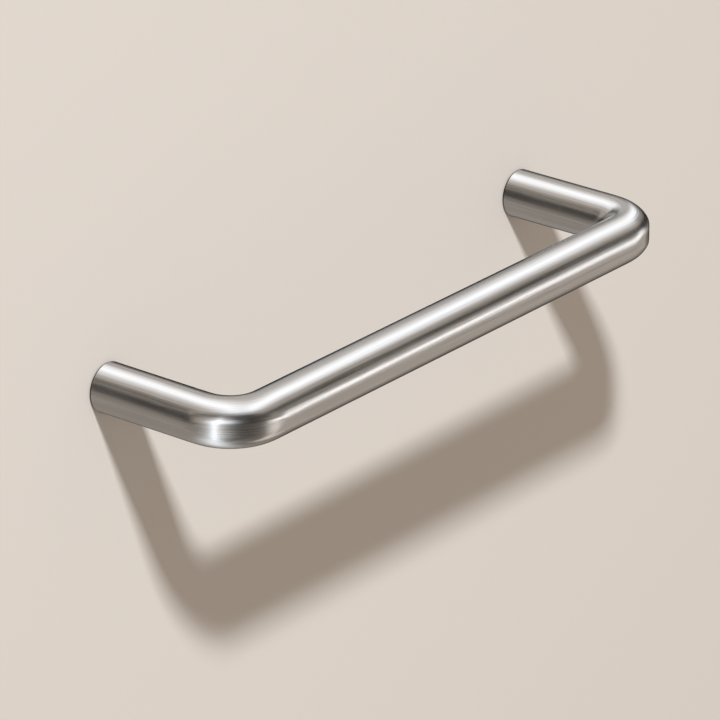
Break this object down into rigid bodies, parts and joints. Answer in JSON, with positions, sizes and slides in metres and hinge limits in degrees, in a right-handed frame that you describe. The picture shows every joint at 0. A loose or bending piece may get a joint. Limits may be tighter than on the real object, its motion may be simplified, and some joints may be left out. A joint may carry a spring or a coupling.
{
  "type": "cabinet handle",
  "caption": "Bow handle of round satin stainless bar, bent square at both ends, with a tapped hole in each foot for a screw from behind a drawer or door front.",
  "frame": {"origin": "on the face of the drawer or door front, midway between the screw holes", "axes": "+X along the grip, +Z out of the front towards the hand, +Y across the grip"},
  "size_m": [0.138, 0.01, 0.037],
  "materials": {
    "satin_stainless": "satin, brushed along the bar"
  },
  "bodies": {
    "root": {"handle": "satin_stainless"}
  },
  "joints": []
}
